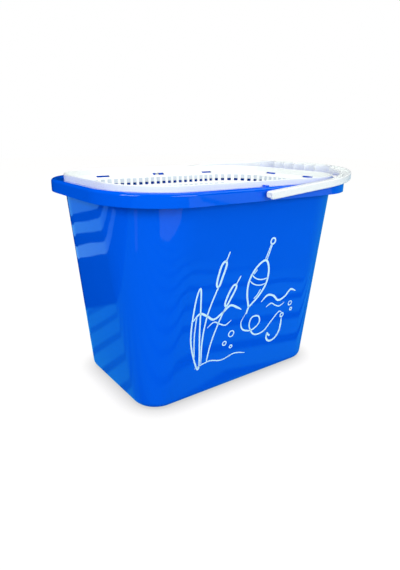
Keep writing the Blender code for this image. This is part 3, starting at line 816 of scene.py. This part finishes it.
def grip_bottom(y):
    """How far the finger recesses cut into the bar, at a distance from the middle."""
    last_ridge = 2 * GRIP_PITCH
    if y < last_ridge:
        return GRIP_DEPTH * abs(math.sin(math.pi * y / GRIP_PITCH)) ** GRIP_FULLNESS
    share = min((y - last_ridge) / END_GRIP[0], 1)
    return END_GRIP[1] * max(math.sin(math.pi * share), 0) ** GRIP_FULLNESS


def handle_edges():
    """Pairs of outer and inner edge points along half the handle, with a tail share."""
    pairs = []
    arm_inner = HANDLE_HALF_WIDTH - ARM_WIDTH
    start = -ARM_TAIL + TAIL_ROUND
    arm = [(-ARM_TAIL + TAIL_ROUND * (1 - cosine), TAIL_END + (1 - TAIL_END) * sine)
           for sine, cosine in arc_steps(steps=TAIL_STEPS)[:-1]]
    arm += [(start + (SHOULDER_X - start) * step / ARM_STEPS, 1) for step in range(ARM_STEPS)]
    for x, share in arm:
        pairs.append((Vector((x, HANDLE_HALF_WIDTH)), Vector((x, arm_inner)), share))
    centre = Vector((SHOULDER_X, SHOULDER_Y))
    for step, turn in enumerate(arc_steps(SHOULDER_TURN, SHOULDER_STEPS)):
        growth = SHOULDER_GROWTH * SHOULDER_TURN / GROWTH_TURN * step / SHOULDER_STEPS
        pairs.append((centre + SHOULDER_RADIUS * Vector(turn),
                      centre + (SHOULDER_RADIUS - ARM_WIDTH - growth) * Vector(turn), 1))
    widening = pairs[-1][0].y / pairs[-1][1].y
    stops = [2 * GRIP_PITCH + END_GRIP[0]]
    for start, span in ((2 * GRIP_PITCH, END_GRIP[0]), (GRIP_PITCH, GRIP_PITCH), (0, GRIP_PITCH)):
        for step in range(1, GRIP_STEPS + 1):
            share = 0.5 + 0.5 * math.cos(math.pi * step / GRIP_STEPS)
            stops.append(start + span * share)
    for y in stops:
        outer_y = y * widening
        pairs.append((Vector((outer_edge_x(outer_y), outer_y)),
                      Vector((BAR_INNER + grip_bottom(y), y)), 1))
    return pairs


print("steps along half the handle:", len(handle_edges()))

# %% [markdown]
# Each section is a list of corners with a radius for each. A corner is rounded with a
# quadratic curve from a point before it to a point after it, which never overshoots, even
# where the section gets thin at the tail.


# %% Handle section
HANDLE_EDGE = 1.5 * MM
SKIRT_EDGE = 0.4 * MM
CHANNEL_EDGE = 0.5 * MM
CHANNEL_LEAST = 0.05 * MM
CHANNEL_SLANT = 0.25


def rounded(corners, steps=3):
    """Round a polygon's corners, each given as x, y and radius."""
    points = []
    for index, (x, y, radius) in enumerate(corners):
        corner = Vector((x, y))
        before = Vector(corners[index - 1][:2]) - corner
        after = Vector(corners[(index + 1) % len(corners)][:2]) - corner
        first = corner + before.normalized() * min(radius, before.length * 0.45)
        last = corner + after.normalized() * min(radius, after.length * 0.45)
        for step in range(steps + 1):
            share = step / steps
            points.append(first * (1 - share) ** 2 + corner * 2 * share * (1 - share)
                          + last * share ** 2)
    return points


def handle_section(outer, inner, tail_share):
    """One ring of the handle between an outer and an inner edge point."""
    width = (outer - inner).length
    across = (inner - outer) / width
    top = ARM_HEIGHT / 2 * tail_share
    bar_share = min(max((inner.x - BAR_INNER + BAR_START) / BAR_START, 0), 1)
    inner_top = top + BAR_RISE * bar_share
    bottom = -(ARM_HEIGHT / 2 + (BAR_HEIGHT - ARM_HEIGHT) * bar_share) * tail_share
    skirt = bottom - ARM_SKIRT * tail_share
    lip = min(CHANNEL_LIP, width / 3)
    share = min((outer.x - CHANNEL_START) / CHANNEL_RUN_IN, 1)
    depth = max(CHANNEL_DEPTH * share, CHANNEL_LEAST)
    slant = CHANNEL_SLANT * depth
    edge = HANDLE_EDGE * tail_share
    grip_edge = edge + (GRIP_EDGE - edge) * bar_share
    corners = [(0, skirt, edge), (lip, skirt, SKIRT_EDGE), (lip + ARM_SKIRT, bottom, SKIRT_EDGE),
               (width, bottom, edge), (width, inner_top, grip_edge),
               (width - lip, inner_top, CHANNEL_EDGE),
               (width - lip - slant, top - depth, CHANNEL_EDGE),
               (lip + slant, top - depth, CHANNEL_EDGE), (lip, top, CHANNEL_EDGE),
               (0, top, edge)]
    return [(*(outer + across * point.x), point.y) for point in rounded(corners)]


print("points in a handle section:", len(handle_section(*handle_edges()[-1])))

# %% [markdown]
# The tail's end face has a shallow hollow, given as rings: each is a share of the face's
# size and how deep it lies. The other half of the bow is the same sections mirrored.

# %% Handle bow
TAIL_HOLLOW = ((0.2, 1.0 * MM), (0.45, 0.85 * MM), (0.62, 0.25 * MM), (0.72, 0))


def tail_hollow(ring):
    """Rings that sink the middle of the tail's end face, from the deepest outward."""
    middle = sum((Vector(point) for point in ring), Vector()) / len(ring)
    rings = []
    for share, depth in TAIL_HOLLOW:
        sunk = [middle + share * (Vector(point) - middle) for point in ring]
        rings.append([(point.x + depth, point.y, point.z) for point in sunk])
    return rings


half_handle = [handle_section(*pair) for pair in handle_edges()]
half_handle = tail_hollow(half_handle[0]) + half_handle
other_half = [[(x, -y, z) for x, y, z in ring] for ring in half_handle[-2::-1]]
handle_mesh = loft("handle_bow", half_handle + other_half, (True, True), outward=True)
laid_down = (Matrix.Translation((0, 0, PIVOT_HEIGHT))
             @ Matrix.Rotation(-math.radians(HANDLE_TILT), 4, "Y"))
handle_mesh.transform(laid_down)
handle = new_piece("handle_bow", handle_mesh, white_polypropylene, "handle",
                   ["bail_handle"])
even_normals(handle)
print("handle faces:", len(handle.data.polygons))

# %% [markdown]
# ## The pivot pins
#
# Each arm turns on a moulded pin: a plain shank with a low domed head. A turned shape is
# half its outline, spun round its axis. A Screw modifier could do that, and so can the
# loft: each ring is then one point of the outline after another, all the way round.


# %% Build the pins
PIN_END = HALF_WIDTH + ARM_GAP + 7.2 * MM


def pin_mesh(name, side):
    """A turned pin, with its head sunk in the tub's wall and its end in the arm."""
    seat = HEAD_SEAT - HEAD_GAP
    profile = [(max(HEAD_RADIUS * sine, 0.02 * MM), seat - HEAD_HEIGHT * cosine)
               for sine, cosine in arc_steps()]
    profile += [(PIN_RADIUS, seat), (PIN_RADIUS, PIN_END), (0.1 * MM, PIN_END)]
    rings = [[(radius * cosine, side * y, PIVOT_HEIGHT + radius * sine)
              for sine, cosine in arc_steps(2 * math.pi, ROD_STEPS)[:-1]]
             for radius, y in profile]
    return loft(name, rings, (True, True), outward=True)


for side, side_name in ((-1, "front"), (1, "back")):
    new_piece(f"pin_{side_name}", pin_mesh(f"pin_{side_name}", side), white_polypropylene,
              "handle", [f"pivot_pin_{side_name}"])
print("pin length in mm:", round((PIN_END - HEAD_SEAT + HEAD_GAP + HEAD_HEIGHT) / MM, 1))

# %% [markdown]
# ## The printed drawing
#
# The front carries a drawing in white line: a fishing float in the water between reeds,
# with its line and a hook below it. A texture would need an image, so each stroke is
# modelled instead, as a path of a few points with a width. A smooth curve runs through
# the points, and the ink is a low ridge along it that gets thinner at its ends, like a
# stroke of a pen. Printed ink is far thinner than the ridge, but a film of 0.02 mm would
# flicker against the wall.

# %% Strokes of ink
INK_HEIGHT = 0.12 * MM
INK_DEPTH = 0.1 * MM
PRINT_FACE = BASE_WIDTH / 2
PRINT_SLOPE = (RIM_WIDTH / 2 - RIM_OVERHANG - PRINT_FACE) / SKIRT_BOTTOM
INK_SECTION = ((-1, -INK_DEPTH), (-0.85, INK_HEIGHT), (0.85, INK_HEIGHT), (1, -INK_DEPTH))
BOLD, MIDDLING, FINE = 3.2, 2.4, 1.8
TIP_SHARE = 0.3
TIP_GROWTH = 5


def smooth_path(points, closed, steps=8):
    """A smooth curve through points, as a list of points close together."""
    path = [Vector(point) for point in points]
    count = len(path)
    curve = []
    for index in range(count if closed else count - 1):
        around = [index + offset for offset in (-1, 0, 1, 2)]
        if closed:
            around = [place % count for place in around]
        a, b, c, d = [path[min(max(place, 0), count - 1)] for place in around]
        for step in range(steps):
            t = step / steps
            curve.append(b + (c - a) * t / 2 + (2 * a - 5 * b + 4 * c - d) * t ** 2 / 2
                         + (3 * b - a - 3 * c + d) * t ** 3 / 2)
    return curve if closed else curve + [path[-1]]


def on_front(point, lift):
    """A place of the drawing, in millimetres along and up, on the front wall."""
    x, z = point.x * MM, point.y * MM
    return (x, -(PRINT_FACE + PRINT_SLOPE * z) - lift, z)


def ink_stroke(work, width, points, closed=False):
    """Add one stroke of ink along a path."""
    path = smooth_path(points, closed)
    last = len(path) - 1
    rings = []
    for index, point in enumerate(path):
        before = path[index - 1] if closed else path[max(index - 1, 0)]
        after = path[(index + 1) % len(path)] if closed else path[min(index + 1, last)]
        along = (after - before).normalized()
        side = Vector((-along.y, along.x))
        end = min(index, last - index) / last
        half = width / 2 * (1 if closed else min(TIP_SHARE + TIP_GROWTH * end, 1))
        rings.append([on_front(point + side * half * share, lift)
                      for share, lift in INK_SECTION])
    if closed:
        rings.append(rings[0])
    add_loft(work, rings, (not closed, not closed))


print("the front leans out by", round(math.degrees(math.atan(PRINT_SLOPE)), 1), "degrees")

# %% [markdown]
# The float is drawn upright round its own middle and then leaned over. The rest is given
# straight in millimetres on the wall, counted from the middle of the base.

# %% Draw the float, its line, the water and the reeds
FLOAT_MIDDLE = Vector((10, 148))
FLOAT_LEAN = math.radians(17)


def leaned(points):
    """Points of the float, leaned over and put in their place."""
    axis = Vector((math.sin(FLOAT_LEAN), math.cos(FLOAT_LEAN)))
    across = Vector((axis.y, -axis.x))
    return [FLOAT_MIDDLE + across * x + axis * y for x, y in points]


def ringlet(x, y, radius):
    """Six points round a circle."""
    return [(x + radius * cosine, y + radius * sine)
            for sine, cosine in arc_steps(2 * math.pi, 6)[:-1]]


half_body = [(9, 27), (15, 14), (16, 0), (11, -15), (4, -26)]
body = [(0, 34)] + half_body + [(0, -31)] + [(-x, y) for x, y in reversed(half_body)]
open_strokes = {
    FINE: [leaned(points) for points in (
        [(-15.5, 12), (-8, 8.5), (0, 7.5), (8, 8.5), (15.5, 12)],
        [(-16, 4), (-8, 0.5), (0, -0.5), (8, 0.5), (16, 4)],
        [(10, -5), (8, -13), (4, -20)], [(-9, 20), (-11, 16), (-12, 13)],
        [(-1.6, 34), (-1.2, 46), (-1, 56)], [(1.6, 34), (1.2, 46), (1, 56)])] + [
        [(-66, 103), (-56, 109), (-46, 104), (-36, 100), (-27, 105)],
        [(34, 110), (43, 114), (52, 109), (61, 106), (70, 110)],
        [(-80, 47), (-58, 52), (-36, 47), (-14, 51), (6, 46)],
        [(-48, 188), (-45, 195), (-43, 201)], [(-27, 154), (-23, 161), (-20, 166)],
        [(-82, 62), (-85, 96), (-84, 124)]],
    MIDDLING: [
        [(-3, 108), (-9, 97), (-4, 85), (12, 80), (25, 88), (22, 99), (10, 100), (7, 88),
         (18, 72), (36, 72), (50, 86), (62, 97), (69, 93)],
        [(-70, 50), (-72, 84), (-68, 120), (-58, 150), (-54, 158)],
        [(-62, 50), (-57, 80), (-46, 112), (-38, 128)]],
    BOLD: [
        leaned([(0, -31), (0, -37), (0, -42)]),
        [(69, 87), (70, 76), (69, 64), (62, 54), (52, 52), (45, 58), (44, 68)],
        [(44, 68), (47, 64), (51, 61)],
        [(-90, 117), (-80, 126), (-69, 121), (-57, 113), (-44, 119), (-32, 127), (-20, 122),
         (-12, 117)],
        [(23, 120), (33, 128), (45, 125), (56, 116), (68, 119), (78, 128), (89, 124)]]}
closed_strokes = {
    FINE: [ringlet(-24, 84, 4.4), ringlet(-34, 72, 3), ringlet(-22, 64, 2.2),
           ringlet(82, 106, 3.2), ringlet(86, 96, 2)],
    MIDDLING: [
        leaned(ringlet(0, 60, 4)), ringlet(69, 90, 3),
        [(-78, 50), (-90, 92), (-88, 142), (-82, 160), (-79, 130), (-77, 96), (-73, 50)]],
    BOLD: [
        leaned(body),
        [(-54, 158), (-50, 170), (-46, 184), (-48, 189), (-53, 186), (-57, 172), (-58, 160)],
        [(-38, 128), (-32, 138), (-26, 150), (-27, 155), (-32, 153), (-38, 142), (-41, 131)]]}
ink = bmesh.new()
for strokes, closed in ((open_strokes, False), (closed_strokes, True)):
    for width, paths in strokes.items():
        for points in paths:
            ink_stroke(ink, width, points, closed)
bmesh.ops.remove_doubles(ink, verts=ink.verts, dist=0.001 * MM)
drawing = new_piece("front_drawing", finished_mesh("front_drawing", ink, outward=True),
                    screen_ink, "tub")
print("ink faces:", len(drawing.data.polygons))

# %% [markdown]
# ## The studio
#
# The bucket is seen from the front left, a little above the rim. The floor and the
# background are white because of their own colour: for the camera alone the floor glows
# a little under its grey, and gets darker where the bucket stands close above it. Glossy
# plastic shows what is round it, and out of doors that is a deck of dark boards with the
# bright sky between the things beyond it. So for glossy rays alone the floor is such a
# deck, and low cards on it stand for the patches of sky.

# %% Camera
CAMERA_PLACE = (-385.95 * MM, -518.24 * MM, 333.25 * MM)
CAMERA_YAW = math.radians(36.587)
CAMERA_PITCH = math.radians(18.330)
CAMERA_ROLL = math.radians(0.935)
IMAGE_HEIGHT = 570
FOCAL_PIXELS = 455.706
SENSOR = 36

lens = bpy.data.cameras.new("camera")
lens.sensor_fit = "VERTICAL"
lens.sensor_height = SENSOR
lens.lens = FOCAL_PIXELS / IMAGE_HEIGHT * SENSOR
camera = placed("camera", lens)
camera.matrix_world = (Matrix.Translation(CAMERA_PLACE) @ Matrix.Rotation(-CAMERA_YAW, 4, "Z")
                       @ Matrix.Rotation(math.pi / 2 - CAMERA_PITCH, 4, "X")
                       @ Matrix.Rotation(CAMERA_ROLL, 4, "Z"))
bpy.context.scene.camera = camera
print("lens in mm:", round(lens.lens, 2))

# %% [markdown]
# The deck's boards are 60 mm wide, with dark gaps. They meet in a V before the bucket, so
# its glossy front shows soft waves, and end at two slanting edges. Behind and to the right
# the deck is even. Each border between light and dark is one row of a table.

# %% Deck for glossy rays
BOARD_PITCH = 60 * MM
BOARD_SLANT = -0.2
BOARD_START = 12 * MM
BOARD_FADE = -100 * MM
DECK_SLANT = -0.6
DECK_EDGES = (-500 * MM, 385 * MM)
QUIET_CORNER = (-120 * MM, -97 * MM)
SKY = "#3ACDFF"
SHADE = "#00224A"

floor_material = new_material("studio_floor_matt_paper")
spot = add_node(floor_material, "ShaderNodeSeparateXYZ", inputs={
    "Vector": add_node(floor_material, "ShaderNodeTexCoord").outputs["Object"]})
spot_x, spot_y = spot.outputs["X"], spot.outputs["Y"]


def slanted(along, slant, start):
    """Distance on the floor from a line at a slant that starts at a place in Y."""
    turned = add_node(floor_material, "ShaderNodeMath", {"operation": "MULTIPLY_ADD"},
                      {0: along, 1: slant, 2: -start})
    return add_node(floor_material, "ShaderNodeMath", {"operation": "ADD"}, {
        0: turned, 1: spot_y})


to_side = add_node(floor_material, "ShaderNodeMath", {"operation": "ABSOLUTE"}, {
    0: spot_x})
gap = add_node(floor_material, "ShaderNodeMath", {"operation": "PINGPONG"}, {
    0: slanted(to_side, BOARD_SLANT, BOARD_START), 1: BOARD_PITCH / 2})
across_deck = slanted(spot_x, DECK_SLANT, 0)
border = {}
for name, value, edge, soft, before, after in (
        ("gap_light", spot_x, BOARD_FADE, 80 * MM, 0.25, 0.1),
        ("board_light", spot_x, BOARD_FADE, 80 * MM, 0.5, 0.9),
        ("on_board", gap, 0.16 * BOARD_PITCH, 0.06 * BOARD_PITCH, 0, 1),
        ("near_edge", across_deck, DECK_EDGES[0], 60 * MM, 0, 1),
        ("far_edge", across_deck, DECK_EDGES[1], 8 * MM, 1, 0),
        ("to_right", spot_x, QUIET_CORNER[0], 30 * MM, 0, 1),
        ("behind", spot_y, QUIET_CORNER[1], 12 * MM, 0, 1)):
    border[name] = add_node(floor_material, "ShaderNodeMapRange", inputs={
        "Value": value, "From Min": edge - soft, "From Max": edge + soft,
        "To Min": before, "To Max": after})

quiet = add_node(floor_material, "ShaderNodeMath", {"operation": "MULTIPLY"}, {
    0: border["to_right"], 1: border["behind"]})
near_bucket = add_node(floor_material, "ShaderNodeMix", inputs={
    "Factor": border["on_board"], "A": border["gap_light"], "B": border["board_light"]})
in_front = add_node(floor_material, "ShaderNodeMix", inputs={
    "Factor": border["near_edge"], "A": 0.5, "B": near_bucket})
deck = add_node(floor_material, "ShaderNodeMix", inputs={
    "Factor": quiet, "A": in_front, "B": 0.35})
sky_share = add_node(floor_material, "ShaderNodeMath", {"operation": "MULTIPLY"}, {
    0: deck, 1: border["far_edge"]})
mirrored_colour = add_node(floor_material, "ShaderNodeMix", {"data_type": "RGBA"}, {
    "Factor": sky_share, "A": srgb(SHADE), "B": srgb(SKY)})
mirrored = add_node(floor_material, "ShaderNodeEmission", inputs={
    "Color": mirrored_colour, "Strength": 1.6})
print("borders on the deck:", list(border))

# %% [markdown]
# For the camera the floor is white paper. Ambient occlusion finds where the bucket is
# within 26 mm and lowers the glow there, so that its soft shadow shows.

# %% Paper floor
CONTACT_REACH = 26 * MM
FLOOR_SIZE = 12
FLOOR_THICKNESS = 10 * MM

path = add_node(floor_material, "ShaderNodeLightPath")
nearness = add_node(floor_material, "ShaderNodeAmbientOcclusion", {"samples": 12},
                    {"Distance": CONTACT_REACH})
contact = add_node(floor_material, "ShaderNodeMapRange", inputs={
    "Value": nearness.outputs["AO"], "From Min": 0.3, "From Max": 0.97,
    "To Min": 0.6, "To Max": 0.93})
glow = add_node(floor_material, "ShaderNodeEmission", inputs={
    "Color": srgb("#FFFFFF"), "Strength": contact})
paper_seen, paper = [
    add_node(floor_material, "ShaderNodeBsdfDiffuse", inputs={"Color": srgb(grey)})
    for grey in ("#5E5B56", "#A2A6AC")]
seen = add_node(floor_material, "ShaderNodeAddShader",
                inputs={0: paper_seen, 1: glow})
to_light = add_node(floor_material, "ShaderNodeMixShader", inputs={
    "Fac": path.outputs["Is Camera Ray"], 1: paper, 2: seen})
to_gloss = add_node(floor_material, "ShaderNodeMixShader", inputs={
    "Fac": path.outputs["Is Glossy Ray"], 1: to_light,
    2: mirrored})
add_node(floor_material, "ShaderNodeOutputMaterial", inputs={"Surface": to_gloss})


def set_stage(name, mesh, material):
    """Put a floor or a card into the studio, which isn't part of the bucket."""
    mesh.materials.append(material)
    prop = placed(name, mesh)
    return prop


floor_box = ((0, 0, -FLOOR_THICKNESS / 2), (FLOOR_SIZE, FLOOR_SIZE, FLOOR_THICKNESS), 0)
set_stage("studio_floor", blocks("studio_floor", [floor_box]), floor_material)
print("floor nodes:", len(floor_material.node_tree.nodes))

# %% [markdown]
# The world is pale light, white to the camera and dark blue to glossy plastic. Only glossy
# plastic shows the cards: bands of sky on the left face, a pale doorway and post at the
# near corner, and pale ground on the rim.

# %% Sky
world = bpy.data.worlds.new("studio_light")
bpy.context.scene.world = world
world.use_nodes = True
world.node_tree.nodes.clear()
sky_path = add_node(world, "ShaderNodeLightPath")
around, behind, mirrored_sky = [
    add_node(world, "ShaderNodeBackground", inputs={"Color": srgb(colour), "Strength": strength})
    for colour, strength in (("#FAFBFC", 0.66), ("#FFFFFF", 1.0), (SHADE, 1.2))]
sky = add_node(world, "ShaderNodeMixShader", inputs={
    "Fac": sky_path.outputs["Is Glossy Ray"], 1: around,
    2: mirrored_sky})
seen_sky = add_node(world, "ShaderNodeMixShader", inputs={
    "Fac": sky_path.outputs["Is Camera Ray"], 1: sky,
    2: behind})
add_node(world, "ShaderNodeOutputWorld", inputs={"Surface": seen_sky})
print("world nodes:", len(world.node_tree.nodes))


# %% Cards
def glow_card(name, corners, colour, strength):
    """A flat card that only glossy plastic shows, with its corners in millimetres."""
    material = new_material(name)
    light = add_node(material, "ShaderNodeEmission",
                     inputs={"Color": srgb(colour), "Strength": strength})
    add_node(material, "ShaderNodeOutputMaterial", inputs={"Surface": light})
    work = bmesh.new()
    work.faces.new([work.verts.new(Vector(corner) * MM) for corner in corners])
    card = set_stage(name, finished_mesh(name, work), material)
    card.visible_camera = False
    card.visible_diffuse = False
    card.visible_shadow = False


def sky_band(near, far):
    """Corners of a band of sky that runs along the deck's slant, between two distances."""
    left, right = -900, -120
    return [(left, near - DECK_SLANT * left, 1), (right, near - DECK_SLANT * right, 1),
            (right, far - DECK_SLANT * right, 1), (left, far - DECK_SLANT * left, 1)]


cards = {
    "sky_near": (sky_band(725, 838), "#7FD4FF", 1.5),
    "sky_middle": (sky_band(960, 1115), "#6CD0FF", 1.4),
    "sky_far": (sky_band(1258, 2100), "#6CD0FF", 1.1),
    "pale_doorway": ([(-559, -718, 1), (-75, -816, 1), (-103, -718, 1), (-259, -582, 1),
                      (-339, -559, 1), (-410, -546, 1)], "#B8E8D0", 1.35),
    "pale_post": ([(-855, -288, 1), (-827, -350, 1), (-594, -219, 1), (-611, -169, 1)],
                  "#9FD8FF", 0.9),
    "pale_ground_near": ([(250, -1120, 1), (900, -1120, 1), (1250, -2300, 1),
                          (400, -2300, 1)], "#9FE4FF", 1.5),
    "pale_ground_far": ([(1010, -1200, 1), (2100, -1200, 1), (3000, -2500, 1),
                         (1440, -2500, 1)], "#9FE4FF", 1.5),
    "high_sky": ([(700, -1100, 1000), (1300, -300, 1100), (1150, -150, 1350),
                  (550, -950, 1250)], "#A8E2FF", 4.5)}
for name, card in cards.items():
    glow_card(name, *card)
print("cards:", list(cards))

# %% [markdown]
# Three broad lamps stand for two windows and a pale ceiling. Broad lamps give soft shadows,
# and their light is kept low enough that white plastic keeps its shading.

# %% Lamps
AIM = Vector((0, 0, 0.14))
for name, place, size, power in (
        ("window_front", (0.2, -2.1, 0.85), (1.4, 0.9), 20),
        ("window_left", (-1.9, -0.6, 1.1), (1.0, 0.8), 19),
        ("ceiling", (0.2, 0.2, 2.0), (1.6, 1.6), 14)):
    lamp = bpy.data.lights.new(name, "AREA")
    lamp.shape = "RECTANGLE"
    lamp.size, lamp.size_y = size
    lamp.energy = power
    holder = placed(name, lamp)
    holder.location = place
    holder.rotation_euler = (AIM - Vector(place)).to_track_quat("-Z", "Y").to_euler()
    print(name, "in watts:", power)

# %% [markdown]
# The Standard view shows each colour as it was written.

# %% Finish
bpy.context.scene.view_settings.view_transform = "Standard"
